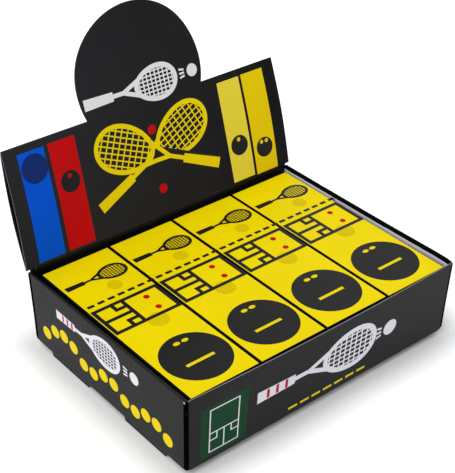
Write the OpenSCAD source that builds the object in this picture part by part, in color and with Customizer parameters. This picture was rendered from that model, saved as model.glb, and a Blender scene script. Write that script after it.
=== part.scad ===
// Counter display of folding board that holds four long cartons of small rubber balls.
// The tray is open at the top, and its folded header hinges on the back wall.
// X runs along the front, Y to the back and Z up, from the middle of the base's underside.

/* [Balls] */
// Outer diameter of a ball
ball_d = 40; // [38:0.5:42]
// Thickness of a ball's rubber wall
ball_wall = 5; // [3:0.25:8]
// Balls in the row that one carton holds
balls_per_carton = 3; // [2:1:3]
// Free space between the balls of a row, and at its ends
ball_gap = 1.3; // [0.05:0.05:2]
// Free space at each side of a ball
ball_side_play = 0.75; // [0.65:0.05:2]
// Free space over a ball
ball_head_play = 1.95; // [0.5:0.05:4]
// Gap under a ball
ball_seat = 0.05; // [0.02:0.01:0.2]

/* [Cartons] */
// Cartons that stand side by side
carton_count = 4; // [3:1:4]
// Thickness of a carton's board
carton_t = 0.4; // [0.3:0.05:0.55]
// Inner radius of a carton's folds
carton_fold_r = 0.2; // [0.1:0.05:0.4]
// Gap between neighbouring cartons
carton_gap = 1.15; // [0.4:0.05:3]
// Length of the tab that tucks in at the foot of a closure
closure_tuck_l = 12; // [6:0.5:15]
// Length of a dust flap
dust_flap_l = 16; // [8:0.5:18]
// Height of the slanted ends of a dust flap
dust_flap_slant = 3; // [1:0.25:5]
// Width of the glued strip inside a sleeve
glue_strip_w = 9; // [5:0.5:10]

/* [Tray] */
// Thickness of the tray's folding board
board_t = 0.5; // [0.35:0.05:0.8]
// Free space at each side of the row of cartons
side_play = 1.975; // [0.5:0.025:5]
// Free space in front of the cartons
front_play = 0.85; // [0.5:0.05:8]
// Free space behind the cartons
back_play = 3.65; // [2:0.05:10]
// Height of the rim above the cartons
rim_above = 2.2; // [1.5:0.1:5]
// Inner radius of the folds along the base
base_fold_r = 0.5; // [0.3:0.05:1]
// Inner radius of the upright folds at the corners
corner_fold_r = 0.3; // [0.2:0.05:0.8]
// Radius of the lower corners of the walls
wall_corner_r = 3; // [1.5:0.25:6]
// Length of the corner flaps inside the side walls
corner_flap_l = 38; // [15:1:40]
// Gap between the layers of a side wall
layer_gap = 0.1; // [0.05:0.01:0.25]
// How far the lock tabs reach below the base
tab_drop = 3.5; // [0.5:0.1:5]
// How far the ends of a lock tab are drawn in at its foot
tab_slant = 1.6; // [0.5:0.1:4]
// Length of a lock tab
tab_l = 36.5; // [20:0.5:40]
// Distance of the front lock tabs from the front
tab_front_inset = 16.75; // [8:0.25:25]
// Distance of the rear lock tabs from the back
tab_back_inset = 12.85; // [8:0.05:25]

/* [Header] */
// Angle at which the header leans back
header_tilt = 17; // [8:1:25]
// How far the header stands out past the tray at each side
header_over = 1.5; // [0:0.05:3]
// Half of the gap between the folded panels of the header
fold_gap = 0.15; // [0.1:0.01:0.3]
// Gap between the boards at a crease
crease_gap = 0.1; // [0.05:0.01:0.2]
// Radius of the round disc of the header
disc_r = 41; // [30:0.5:43]
// Height of the disc's centre above the header's top crease
disc_rise = 14.6; // [6:0.1:18]
// Gap round the disc when the header lies flat
disc_gap = 0.3; // [0.2:0.05:1]
// Depth of the tuck flap
tuck_depth = 2.8; // [2:0.1:3]
// Free space between the tuck flap and the front wall when the lid is shut
tuck_inset = 2.35; // [1:0.05:6]
// Gap between the tuck flap and a side wall
tuck_side_gap = 0.8; // [0.4:0.1:3]
// Length of the slanted corners of the tuck flap
tuck_slant = 1.5; // [0.5:0.1:2]
// Height of the small steps at the lower corners of the header
ear_trim = 0.6; // [0.2:0.05:1]

/* [Hidden] */
$fn = 64;

CARTON_BOARDS = ["sleeve", "front_closure", "back_closure", "front_dust_flaps", "back_dust_flaps"];
HALVES = ["upper_half", "lower_half"];

BOARD_COLOUR = "#2c2c2e";
LINER_COLOUR = "#a9a7b4";
CARTON_COLOUR = "#f0dc00";
RUBBER_COLOUR = "#18181a";

// Gap between the parts of a carton that slide past each other, and under a carton
slide_gap = 0.1;
// Overrun of a cut past the face that it opens
overrun = 1;

// Carton
carton_fold_outer = carton_fold_r + carton_t;
carton_w = ball_d + 2 * ball_side_play + 2 * carton_t;
carton_h = ball_d + ball_seat + ball_head_play + 2 * carton_t;
carton_l = balls_per_carton * (ball_d + ball_gap) + ball_gap + 4 * carton_t;
carton_pitch = carton_w + carton_gap;
row_w = carton_count * carton_w + (carton_count - 1) * carton_gap;

// Tray
flap_x_step = board_t + layer_gap;
side_wall_w = 3 * board_t + 2 * layer_gap;
base_fold_outer = base_fold_r + board_t;
corner_fold_outer = corner_fold_r + board_t;
rim_fold_r = (board_t + 2 * layer_gap) / 2;
rim_fold_outer = rim_fold_r + board_t;
tray_w = row_w + 2 * side_play + 2 * side_wall_w;
tray_d = carton_l + front_play + back_play + 2 * board_t;
carton_z = board_t + slide_gap;
carton_top = carton_z + carton_h;
rim_z = carton_top + rim_above;
carton_front = -tray_d / 2 + board_t + front_play;
carton_back = carton_front + carton_l;
flap_bottom = base_fold_outer + 2 * layer_gap;
flap_top = rim_z - rim_fold_outer - 2.5 * layer_gap;
liner_x = tray_w / 2 - side_wall_w;
liner_half_l = tray_d / 2 - board_t - layer_gap;
wall_half_w = tray_w / 2 - flap_x_step - corner_fold_outer;
tab_notch_gap = 1.5 * layer_gap;

// Header
crease_off = fold_gap + board_t / 2;
bead_r = fold_gap + board_t;
lid_y = tray_d / 2 - board_t / 2;
lid_z = rim_z + crease_off + bead_r + crease_gap;
header_half_w = tray_w / 2 + header_over;
panel_l = (tray_d - board_t / 2 - board_t - tuck_inset) / 2;
bead_start = sqrt(pow(disc_r + disc_gap, 2) - disc_rise * disc_rise);
ear_x = liner_x - layer_gap;
tuck_y = lid_y - 2 * crease_off * cos(header_tilt);
tuck_z = lid_z + 2 * crease_off * sin(header_tilt);

// Place of a carton's middle along the row, counted from 1
function carton_x(i) = (i - (carton_count + 1) / 2) * carton_pitch;

// Place of a ball's middle along its carton, counted from 1
function ball_y(k) = carton_front + 2 * carton_t + k * (ball_d + ball_gap) - ball_d / 2;

// An outline in X and Z, carried along Y
module along_y(y0, y1) {
    translate([0, y1, 0]) rotate([90, 0, 0]) linear_extrude(y1 - y0) children();
}

// An outline in Y and Z, carried along X
module along_x(x0, x1) {
    translate([x0, 0, 0]) rotate([90, 0, 90]) linear_extrude(x1 - x0) children();
}

// Section of a folded board: a bend round the origin at the lower left, with an arm that runs
// to the right and an arm that runs up
module fold_profile(inner, outer, arm_right, arm_up) {
    difference() {
        union() {
            circle(outer);
            if (arm_right > 0) translate([0, -outer]) square([arm_right, outer]);
            if (arm_up > 0) translate([-outer, 0]) square([outer, arm_up]);
        }
        circle(inner);
        translate([-inner, 0]) square([arm_right + 2 * outer, arm_up + outer]);
        translate([0, -inner]) square([arm_right + outer, arm_up + outer]);
        translate([arm_right, -outer]) square([2 * outer, outer]);
        translate([-outer, arm_up]) square([outer, 2 * outer]);
    }
}

// Shape that sits at the left, or its mirror image at the right
module at_side(side) {
    mirror([side > 0 ? 1 : 0, 0, 0]) children();
}

// Shape that sits at the front, or its mirror image about the middle of a length
module at_end(end, middle) {
    translate([0, middle, 0]) mirror([0, end > 0 ? 1 : 0, 0]) translate([0, -middle, 0]) children();
}

module tray_base() {
    half_w = tray_w / 2 - base_fold_outer;
    half_d = tray_d / 2 - base_fold_outer;
    notch_w = half_w - liner_x + tab_notch_gap;
    color(BOARD_COLOUR) difference() {
        translate([-half_w, -half_d, 0]) cube([2 * half_w, 2 * half_d, board_t]);
        for (side = [-1, 1]) at_side(side) for (y = [tab_front_y(), tab_back_y()])
            translate([-half_w - overrun, y - tab_notch_gap, -overrun])
                cube([notch_w + overrun, tab_l + 2 * tab_notch_gap, board_t + 2 * overrun]);
    }
}

// Near ends of the two lock tabs
function tab_front_y() = -tray_d / 2 + tab_front_inset;
function tab_back_y() = tray_d / 2 - tab_back_inset - tab_l;

// Fold between the base and an end wall, and the flat of the wall
module end_wall(top) {
    color(BOARD_COLOUR) {
        translate([0, -tray_d / 2 + base_fold_outer, base_fold_outer])
            along_x(-tray_w / 2 + wall_corner_r, tray_w / 2 - wall_corner_r)
                fold_profile(base_fold_r, base_fold_outer, 0, base_fold_outer);
        translate([-wall_half_w, -tray_d / 2, base_fold_outer])
            cube([2 * wall_half_w, board_t, top - base_fold_outer]);
    }
}

module front_wall() {
    end_wall(rim_z);
}

module back_wall() {
    at_end(1, 0) end_wall(lid_z - board_t / 2 - crease_gap);
}

// Outer layer of a side wall, with the fold to the base and round lower corners
module side_wall(side) {
    half_d = tray_d / 2;
    top = rim_z - rim_fold_outer;
    color(BOARD_COLOUR) at_side(side) {
        translate([-tray_w / 2 + base_fold_outer, 0, base_fold_outer])
            along_y(-half_d + wall_corner_r, half_d - wall_corner_r)
                fold_profile(base_fold_r, base_fold_outer, 0, base_fold_outer);
        along_x(-tray_w / 2, -tray_w / 2 + board_t) difference() {
            union() {
                translate([-half_d, wall_corner_r]) square([2 * half_d, top - wall_corner_r]);
                translate([-half_d + wall_corner_r, 0]) square([2 * (half_d - wall_corner_r), top]);
                for (s = [-1, 1]) translate([s * (half_d - wall_corner_r), wall_corner_r])
                    circle(wall_corner_r);
            }
            translate([-half_d - overrun, -overrun])
                square([2 * (half_d + overrun), base_fold_outer + overrun]);
        }
    }
}

// Inner layer of a side wall: it rolls over the rim and locks into the base with two tabs
module side_liner(side) {
    bottom = board_t + layer_gap;
    top = rim_z - rim_fold_outer;
    fold_x = -tray_w / 2 + rim_fold_outer;
    color(LINER_COLOUR) at_side(side) {
        along_y(-liner_half_l, liner_half_l) translate([fold_x, top]) difference() {
            union() {
                circle(rim_fold_outer);
                translate([rim_fold_r, bottom - top]) square([board_t, top - bottom]);
            }
            circle(rim_fold_r);
            translate([-rim_fold_outer, -rim_fold_outer])
                square([rim_fold_outer + rim_fold_r, rim_fold_outer]);
        }
        along_x(-liner_x - board_t, -liner_x) for (y = [tab_front_y(), tab_back_y()])
            polygon([
                [y, bottom + board_t], [y, 0], [y + tab_slant, -tab_drop],
                [y + tab_l - tab_slant, -tab_drop], [y + tab_l, 0], [y + tab_l, bottom + board_t]
            ]);
    }
}

// Flap on the end of an end wall, folded back between the two layers of a side wall
module corner_flap(side, end) {
    fold_y = -tray_d / 2 + corner_fold_outer;
    color(BOARD_COLOUR) at_side(side) at_end(end, 0)
        translate([-wall_half_w, fold_y, flap_bottom]) linear_extrude(flap_top - flap_bottom)
            fold_profile(corner_fold_r, corner_fold_outer, 0, corner_flap_l);
}

// Frame of the header: X along it, Z up its slope and Y out of its back
module on_header() {
    translate([0, lid_y, lid_z]) rotate([-header_tilt, 0, 0]) children();
}

// Rear panel, hinged on the back wall, with the round hole that the disc leaves
module lid_panel() {
    color(BOARD_COLOUR) on_header() {
        rotate([0, 90, 0]) cylinder(r = board_t / 2, h = 2 * header_half_w, center = true);
        along_y(-board_t / 2, board_t / 2) difference() {
            translate([-header_half_w, 0])
                square([2 * header_half_w, panel_l - bead_r - crease_gap]);
            translate([0, panel_l - disc_rise]) circle(disc_r + disc_gap);
        }
    }
}

// Printed front panel that hangs from the top crease, with the disc that stands up past it
module header_panel() {
    bottom = board_t / 2 + crease_gap;
    bead_l = header_half_w - bead_start;
    color(BOARD_COLOUR) on_header() {
        along_y(-2 * crease_off - board_t / 2, -2 * crease_off + board_t / 2) difference() {
            union() {
                translate([-header_half_w, bottom])
                    square([2 * header_half_w, panel_l - bottom]);
                translate([0, panel_l + disc_rise]) circle(disc_r);
            }
            for (s = [-1, 1]) translate([s > 0 ? ear_x : -ear_x - header_half_w, 0])
                square([header_half_w, bottom + ear_trim]);
        }
        for (s = [-1, 1])
            translate([s * (bead_start + bead_l / 2), -crease_off, panel_l]) rotate([0, 90, 0])
                cylinder(r = bead_r, h = bead_l, center = true);
    }
}

// Flap at the foot of the front panel, tucked in behind the cartons
module tuck_flap() {
    half_w = liner_x - tuck_side_gap;
    color(BOARD_COLOUR) translate([0, tuck_y, tuck_z]) {
        rotate([0, 90, 0]) cylinder(r = board_t / 2, h = 2 * half_w, center = true);
        along_y(-board_t / 2, board_t / 2) polygon([
            [-half_w, 0], [-half_w, tuck_slant - tuck_depth], [tuck_slant - half_w, -tuck_depth],
            [half_w - tuck_slant, -tuck_depth], [half_w, tuck_slant - tuck_depth], [half_w, 0]
        ]);
    }
}

module rounded_rect(w, h, r) {
    translate([-w / 2 + r, 0]) square([w - 2 * r, h]);
    translate([-w / 2, r]) square([w, h - 2 * r]);
    for (s = [-1, 1]) for (z = [r, h - r]) translate([s * (w / 2 - r), z]) circle(r);
}

// Square tube of folded board, with the strip that glues it shut
module carton_sleeve(i) {
    front = carton_front + carton_t + carton_fold_outer;
    back = carton_back - carton_t - carton_fold_outer;
    flat_w = carton_w - 2 * carton_fold_outer;
    strip_top = carton_h - carton_t - carton_fold_r;
    color(CARTON_COLOUR) translate([carton_x(i), 0, carton_z]) {
        along_y(front, back) difference() {
            rounded_rect(carton_w, carton_h, carton_fold_outer);
            translate([0, carton_t])
                rounded_rect(carton_w - 2 * carton_t, carton_h - 2 * carton_t, carton_fold_r);
        }
        along_y(front + slide_gap, back - slide_gap)
            translate([carton_w / 2 - 2 * carton_t, strip_top - glue_strip_w])
                square([1.5 * carton_t, glue_strip_w]);
        along_y(carton_front + carton_fold_outer, carton_back - carton_fold_outer)
            translate([-flat_w / 2, carton_h - carton_t]) square([flat_w, carton_t]);
        along_y(carton_front, carton_back)
            translate([-flat_w / 2, 0]) square([flat_w, carton_t]);
    }
}

// Closed outline that runs from a fold's foot to its head: straight, with a round at each end
module fold_column(z0, z1, r) {
    for (z = [z0, z1]) translate([0, z]) circle(r);
    translate([-r, z0]) square([r, z1 - z0]);
}

// End panel that folds down from the sleeve's top and tucks in over its floor
module carton_closure(i, end) {
    half_w = carton_w / 2 - slide_gap;
    tab_half_w = carton_w / 2 - carton_t - ball_side_play / 2;
    tab_z = carton_t + slide_gap;
    foot = tab_z + carton_fold_outer;
    head = carton_h - carton_fold_outer;
    lap = carton_t / 2;
    fold_y = carton_front + carton_fold_outer;
    tab_end = fold_y + closure_tuck_l;
    slant = closure_tuck_l / 4;
    color(CARTON_COLOUR) translate([carton_x(i), 0, carton_z])
        at_end(end, (carton_front + carton_back) / 2) {
            translate([0, fold_y, 0]) along_x(-half_w, half_w) difference() {
                union() {
                    fold_column(foot, head, carton_fold_outer);
                    translate([0, tab_z]) square([lap, carton_t]);
                }
                fold_column(foot, head, carton_fold_r);
                translate([0, tab_z + carton_t]) square([carton_fold_outer, carton_h]);
                translate([lap, 0]) square([carton_fold_outer, carton_h]);
            }
            translate([0, 0, tab_z]) linear_extrude(carton_t) polygon([
                [-tab_half_w, fold_y], [-tab_half_w, tab_end - slant],
                [slant - tab_half_w, tab_end], [tab_half_w - slant, tab_end],
                [tab_half_w, tab_end - slant], [tab_half_w, fold_y]
            ]);
        }
}

// Pair of flaps that fold in from the sleeve's sides behind a closure
module carton_dust_flaps(i, end) {
    bottom = carton_t + 2 * slide_gap + carton_fold_outer;
    top = carton_h - carton_fold_outer - slide_gap;
    fold_x = -carton_w / 2 + carton_fold_outer;
    fold_y = carton_front + carton_t + carton_fold_outer;
    flap_end = -carton_w / 2 + dust_flap_l;
    lap = carton_fold_outer;
    color(CARTON_COLOUR) translate([carton_x(i), 0, carton_z])
        at_end(end, (carton_front + carton_back) / 2) for (side = [-1, 1]) at_side(side) {
            translate([fold_x, fold_y, bottom]) linear_extrude(top - bottom)
                fold_profile(carton_fold_r, carton_fold_outer, lap, 0);
            along_y(carton_front + carton_t, carton_front + 2 * carton_t) polygon([
                [fold_x, bottom], [fold_x + lap, bottom], [flap_end, bottom + dust_flap_slant],
                [flap_end, top - dust_flap_slant], [fold_x + lap, top], [fold_x, top]
            ]);
        }
}

// Half of a hollow rubber ball, glued to its twin along the level seam
module ball_half(i, k, up) {
    color(RUBBER_COLOUR)
        translate([carton_x(i), ball_y(k), carton_z + carton_t + ball_seat + ball_d / 2])
            mirror([0, 0, up ? 0 : 1]) rotate_extrude() difference() {
                intersection() {
                    circle(ball_d / 2);
                    square(ball_d / 2);
                }
                circle(ball_d / 2 - ball_wall);
            }
}

tray_base();
front_wall();
back_wall();
side_wall(-1);  // left_wall
side_wall(1);  // right_wall
side_liner(-1);  // left_liner
side_liner(1);  // right_liner
corner_flap(-1, -1);  // front_left_corner_flap
corner_flap(1, -1);  // front_right_corner_flap
corner_flap(-1, 1);  // back_left_corner_flap
corner_flap(1, 1);  // back_right_corner_flap
lid_panel();
header_panel();
tuck_flap();
for (i = [1:carton_count]) {
    carton_sleeve(i);
    carton_closure(i, -1);
    carton_closure(i, 1);
    carton_dust_flaps(i, -1);
    carton_dust_flaps(i, 1);
    for (k = [1:balls_per_carton]) {
        ball_half(i, k, true);
        ball_half(i, k, false);
    }
}
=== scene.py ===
# %% [markdown]
# # A counter display of squash balls
# The CAD model holds every board, fold, carton and ball in its real place. This lesson dresses it:
# it sets up the camera and light, gives each board its print side, bare side and cut edges, bends
# the tray's walls and the header as springy board bends, and lays the printed marks on as thin
# films of ink.

import bmesh
import bpy
import numpy as np
from mathutils import Matrix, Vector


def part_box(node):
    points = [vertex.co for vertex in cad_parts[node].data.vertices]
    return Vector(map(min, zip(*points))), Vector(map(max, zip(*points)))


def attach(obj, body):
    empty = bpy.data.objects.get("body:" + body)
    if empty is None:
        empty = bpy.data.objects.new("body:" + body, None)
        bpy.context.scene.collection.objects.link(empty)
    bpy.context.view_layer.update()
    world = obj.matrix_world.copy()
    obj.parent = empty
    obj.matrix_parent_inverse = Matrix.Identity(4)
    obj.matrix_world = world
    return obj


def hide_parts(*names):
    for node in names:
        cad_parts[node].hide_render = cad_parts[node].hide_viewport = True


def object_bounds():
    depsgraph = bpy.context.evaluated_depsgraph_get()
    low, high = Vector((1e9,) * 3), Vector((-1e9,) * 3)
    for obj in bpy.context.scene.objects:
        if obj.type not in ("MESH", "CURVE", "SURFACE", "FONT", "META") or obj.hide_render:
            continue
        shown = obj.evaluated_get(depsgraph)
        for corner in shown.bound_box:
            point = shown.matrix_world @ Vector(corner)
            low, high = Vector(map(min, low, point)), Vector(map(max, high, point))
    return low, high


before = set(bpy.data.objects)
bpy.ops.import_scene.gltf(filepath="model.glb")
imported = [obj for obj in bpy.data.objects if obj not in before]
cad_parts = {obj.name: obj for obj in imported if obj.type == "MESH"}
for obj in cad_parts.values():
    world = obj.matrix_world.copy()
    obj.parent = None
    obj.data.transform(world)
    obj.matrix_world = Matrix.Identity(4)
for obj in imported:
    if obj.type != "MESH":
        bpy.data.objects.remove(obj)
cad_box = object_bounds()
MM = 0.001
print("CAD box in mm:", [[round(c / MM, 2) for c in corner] for corner in cad_box])

# %% [markdown]
# Colours are written as sRGB hex values, as in a paint program, but shaders work with linear
# light, so one function converts them. Each material is a small tree of nodes, and one helper adds
# a node, sets its options and fills its sockets: a value is set, and another node's output is
# linked.


# %% Colour and node helpers
def linear(hex_colour):
    """Linear RGBA of an sRGB hex value: c / 12.92 when dark, else ((c + 0.055) / 1.055) ^ 2.4."""
    c = np.array([int(hex_colour[i:i + 2], 16) for i in (1, 3, 5)]) / 255
    return [*np.where(c <= 0.04045, c / 12.92, ((c + 0.055) / 1.055) ** 2.4), 1.0]


def add_node(tree, kind, inputs=(), **options):
    """Adds one shader node with its options. Inputs are listed in the order of the sockets in use,
    or keyed by name. Each is a value to set or something to link: an output, or a node, which
    stands for its first output in use."""
    node = tree.nodes.new("ShaderNode" + kind)
    for name, value in options.items():
        setattr(node, name, value)
    if not isinstance(inputs, dict):
        inputs = dict(zip([k for k, socket in enumerate(node.inputs) if socket.enabled], inputs))
    for key, value in inputs.items():
        if isinstance(value, bpy.types.Node):
            value = next(socket for socket in value.outputs if socket.enabled)
        if isinstance(value, bpy.types.NodeSocket):
            tree.links.new(value, node.inputs[key])
        else:
            node.inputs[key].default_value = value
    return node


def empty_tree(owner):
    """Switches nodes on for a material or world and removes the default ones."""
    owner.use_nodes = True
    owner.node_tree.nodes.clear()
    return owner.node_tree


def own_xyz(tree):
    """Outputs x, y and z of the point in the object's own coordinates, in metres."""
    return add_node(tree, "SeparateXYZ", [add_node(tree, "TexCoord").outputs["Object"]]).outputs


def grains(tree, size_mm, detail=2.0):
    """Random pattern from 0 to 1 in the object's own coordinates, with grains of about size_mm."""
    place = add_node(tree, "TexCoord").outputs["Object"]
    return add_node(tree, "TexNoise", {
        "Vector": place, "Scale": 1 / (size_mm * MM), "Detail": detail})


# %% [markdown]
# The camera stands where the photographer stood. Its direction and distance were worked out from
# the corners of the tray. The lens covers 36 mm on the picture's longer side, 473 pixels.

# %% Camera
AZIMUTH, ELEVATION, ROLL = np.radians([-40.40726, 33.51847, 1.19753])
DISTANCE = 695.733 * MM
TARGET = np.array([17.305, 33.452, 40.0]) * MM
FOCAL_PIXELS, LONG_SIDE, SENSOR = 1246.90, 473, 36

out = np.array([np.sin(AZIMUTH) * np.cos(ELEVATION), -np.cos(AZIMUTH) * np.cos(ELEVATION),
                np.sin(ELEVATION)])
level_right = np.cross(-out, [0, 0, 1])
level_right /= np.linalg.norm(level_right)
level_up = np.cross(out, level_right)
right = np.cos(ROLL) * level_right + np.sin(ROLL) * level_up
up = np.cos(ROLL) * level_up - np.sin(ROLL) * level_right
stand = Matrix(np.column_stack([right, up, out]).tolist()).to_4x4()
stand.translation = TARGET + DISTANCE * out

camera_data = bpy.data.cameras.new("camera")
camera_data.lens = SENSOR * FOCAL_PIXELS / LONG_SIDE
camera_data.sensor_width = SENSOR
camera_data.clip_end = 20
camera = bpy.data.objects.new("camera", camera_data)
camera.matrix_world = stand
bpy.context.scene.collection.objects.link(camera)
bpy.context.scene.camera = camera
bpy.context.scene.view_settings.view_transform = "Standard"
print(f"Lens {camera_data.lens:.2f} mm, {DISTANCE:.3f} m from its target")

# %% [markdown]
# The studio is a white table under a white tent. The tent lights the object softly from all sides,
# and one large soft lamp far away at the upper left makes the top and the left side lighter than
# the front. A sun with a wide angle is such a lamp: it lights the whole table evenly, with soft
# shadows. What the camera and mirror-like surfaces see of the tent is plain white.

# %% Light
TENT_LIGHT = 0.60
LAMP_STRENGTH, LAMP_WIDTH = 1.55, np.radians(55)
TOWARDS_LAMP = np.array([-0.62, -0.10, 0.78])

world = bpy.data.worlds.new("tent")
bpy.context.scene.world = world
tree = empty_tree(world)
ray = add_node(tree, "LightPath").outputs
seen = add_node(tree, "Math", [ray["Is Camera Ray"], ray["Is Glossy Ray"]], operation="MAXIMUM")
seen = add_node(tree, "Math", [seen, ray["Is Transmission Ray"]], operation="MAXIMUM")
strength = add_node(tree, "MapRange", [seen, 0, 1, TENT_LIGHT, 1])
tent = add_node(tree, "Background", [linear("#ffffff"), strength])
add_node(tree, "OutputWorld", [tent])

lamp_data = bpy.data.lights.new("soft_lamp", "SUN")
lamp_data.energy, lamp_data.angle = LAMP_STRENGTH, LAMP_WIDTH
lamp = bpy.data.objects.new("soft_lamp", lamp_data)
back_of_lamp = TOWARDS_LAMP / np.linalg.norm(TOWARDS_LAMP)
side = np.cross([0, 0, 1], back_of_lamp)
side /= np.linalg.norm(side)
top = np.cross(back_of_lamp, side)
lamp.matrix_world = Matrix(np.column_stack([side, top, back_of_lamp]).tolist()).to_4x4()
bpy.context.scene.collection.objects.link(lamp)

# %% [markdown]
# The sizes that the new pieces need are read from the CAD boxes: the tray's outside, the cartons
# and the header. The header leans back by its tilt, so it has its own frame: u runs along it, v up
# its slope and h out of its front. Its tilt, its creases and its disc are the CAD model's, and its
# two panels together are 3.1 mm shorter than the tray.

# %% Sizes of the object


def box_mm(node):
    """Lowest and highest corner of a CAD node, in millimetres."""
    return [np.array(corner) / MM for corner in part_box(node)]


CARTONS = range(1, 5)
tray_left, tray_right = box_mm("left_wall")[0][0], box_mm("right_wall")[1][0]
tray_front, tray_back = box_mm("front_wall")[0][1], box_mm("back_wall")[1][1]
rim_z = box_mm("left_liner")[1][2]
base_low, base_high = box_mm("tray_base")
board_t = base_high[2] - base_low[2]
carton_box = {i: box_mm(f"carton_{i}_sleeve") for i in CARTONS}
TILT, PANELS_SHORTER = np.radians(17), 3.1
CREASE_OFF, CREASE_GAP, BEAD_R = 0.4, 0.1, 0.65
DISC_R, DISC_RISE, DISC_GAP = 41.0, 14.6, 0.3
PANEL_L = (tray_back - tray_front - PANELS_SHORTER) / 2
hinge_y = tray_back - board_t / 2
hinge_z = rim_z + CREASE_OFF + BEAD_R + CREASE_GAP
header_half = box_mm("header_panel")[1][0]
print(f"Tray x {tray_left:.2f}..{tray_right:.2f}, y {tray_front:.2f}..{tray_back:.2f} mm")
print(f"Header {2 * header_half:.1f} mm wide, panels {PANEL_L:.2f} mm high")
print(f"Rim at z {rim_z:.2f}, hinge at y {hinge_y:.2f}, z {hinge_z:.2f}")

# %% [markdown]
# The table is a plain white sheet. It reflects light as white paper does, and for the camera it
# glows a little on top of that, so that it reaches the white of the tent. The glow fades in with
# the distance from the tray's outline. Next to the tray none is added, which gives a painted shade
# on the table on top of the object's own shadow.

# %% Floor
FLOOR_HALF, FLOOR_GLOW, GLOW_FROM_MM, GLOW_TO_MM = 3.0, 0.42, 3.0, 24.0
floor_z = cad_box[0][2]
floor_mesh = bpy.data.meshes.new("floor")
corners = np.array([[-1, -1], [1, -1], [1, 1], [-1, 1]]) * FLOOR_HALF
floor_mesh.from_pydata(np.column_stack([corners, np.full(4, floor_z)]).tolist(), [], [[0, 1, 2, 3]])
floor = bpy.data.objects.new("floor", floor_mesh)
bpy.context.scene.collection.objects.link(floor)
paper = bpy.data.materials.new("white_table_paper")
tree = empty_tree(paper)
place = add_node(tree, "TexCoord").outputs["Object"]
footprint = (tray_right * MM, tray_back * MM, 1)
away = add_node(tree, "VectorMath", [place], operation="ABSOLUTE")
away = add_node(tree, "VectorMath", [away, footprint], operation="SUBTRACT")
away = add_node(tree, "VectorMath", [away, (0, 0, 0)], operation="MAXIMUM")
distance = add_node(tree, "VectorMath", [away], operation="LENGTH")
# Painted shade: no glow within 3 mm of the tray's outline, and the full glow from 24 mm away.
fading = add_node(tree, "MapRange", [distance, GLOW_FROM_MM * MM, GLOW_TO_MM * MM, 0, FLOOR_GLOW])
camera_ray = add_node(tree, "LightPath").outputs["Is Camera Ray"]
glow = add_node(tree, "Math", [camera_ray, fading], operation="MULTIPLY")
shade = add_node(tree, "BsdfDiffuse", [linear("#f6f6f6")])
light = add_node(tree, "Emission", [linear("#ffffff"), glow])
both = add_node(tree, "AddShader", [shade, light])
add_node(tree, "OutputMaterial", [both])
floor_mesh.materials.append(paper)

# %% [markdown]
# Folding board is grey or white pulp, pressed to a sheet, coated on one side and printed in an
# offset press. The printed side has a satin varnish with a faint mottle from the fibres under it,
# the other side is rough and here dyed black, and a cut edge shows the grey pulp. All boards here
# share these traits, so one function makes the finish, and the colour comes in as a value or as a
# mix. The strength of the shine is a plain number, because only such a number survives the export.
# So a place with another shine, such as a corner of the tray, gets a material of its own. The black
# ink is a little deeper in some places than in others. On the header a painted sheen lightens the
# black at the left end and fades out towards the right.

# %% Board finish
MOTTLE_MM, FIBRE_MM, CLOUD_MM, FIBRE_DETAIL = 1.6, 0.9, 45.0, 3.0
MIDDLE_OF_NOISE, CLOUD_DARKEST, SMOOTHER, ROUGHER = (0.3, 0.7), 0.94, 0.04, 0.05
FINE_RELIEF_MM, COARSE_RELIEF_MM, BOARD_BUMP = 0.012, 0.03, 0.5


def finish_board(tree, colour, rough, specular, bump_mm=FINE_RELIEF_MM):
    """Satin or bare board: the colour varies a little in clouds, and the fibres make roughness and
    relief."""
    cloud = add_node(tree, "MapRange", [grains(tree, CLOUD_MM), *MIDDLE_OF_NOISE, CLOUD_DARKEST, 1])
    grey = add_node(tree, "CombineColor", [cloud] * 3)
    shade = add_node(tree, "Mix", [1, colour, grey], data_type="RGBA", blend_type="MULTIPLY")
    fibres = grains(tree, FIBRE_MM, FIBRE_DETAIL)
    bump = add_node(tree, "Bump", {
        "Height": fibres, "Strength": BOARD_BUMP, "Distance": bump_mm * MM})
    roughness = add_node(tree, "MapRange", [
        grains(tree, MOTTLE_MM), *MIDDLE_OF_NOISE, rough - SMOOTHER, rough + ROUGHER])
    surface = add_node(tree, "BsdfPrincipled", {
        "Base Color": shade, "Roughness": roughness, "Specular IOR Level": specular,
        "Normal": bump})
    add_node(tree, "OutputMaterial", [surface])


def plain_board(name, hex_colour, rough, specular, bump_mm=FINE_RELIEF_MM):
    """Board or ink of one colour."""
    material = bpy.data.materials.new(name)
    finish_board(empty_tree(material), linear(hex_colour), rough, specular, bump_mm)
    return material


BLACK_PRINT, THIN_BLACK, DEEP_BLACK = "#0d0d0f", "#141417", "#08080a"
SHEEN_BLACK, BLACK_BACK = "#242428", "#131315"
CUT_BOARD, PALE_CUT, RUBBED_CUT, PAINTED_SEAM_SHADE = "#77777e", "#c4c4ca", "#848489", "#050506"
COATED_BOARD, PAINTED_SHADE_COATING = "#f4f0ff", "#807d88"
SATIN, ROUGH, ROLL_ROUGH = 0.40, 0.80, 0.55
SATIN_SPECULAR, HEADER_SPECULAR, ROUGH_SPECULAR, DULL_SPECULAR = 0.16, 0.085, 0.12, 0.0
INK_CLOUDS, SHEEN_FROM_X, SHEEN_TO_X = (0.35, 0.65), -50, 80


def black_ink(tree):
    """Black ink that is thinner in some clouds and deeper in others."""
    thinner = add_node(tree, "MapRange", [grains(tree, CLOUD_MM), *INK_CLOUDS])
    return add_node(tree, "Mix", [thinner, linear(DEEP_BLACK), linear(THIN_BLACK)],
                    data_type="RGBA")


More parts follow.
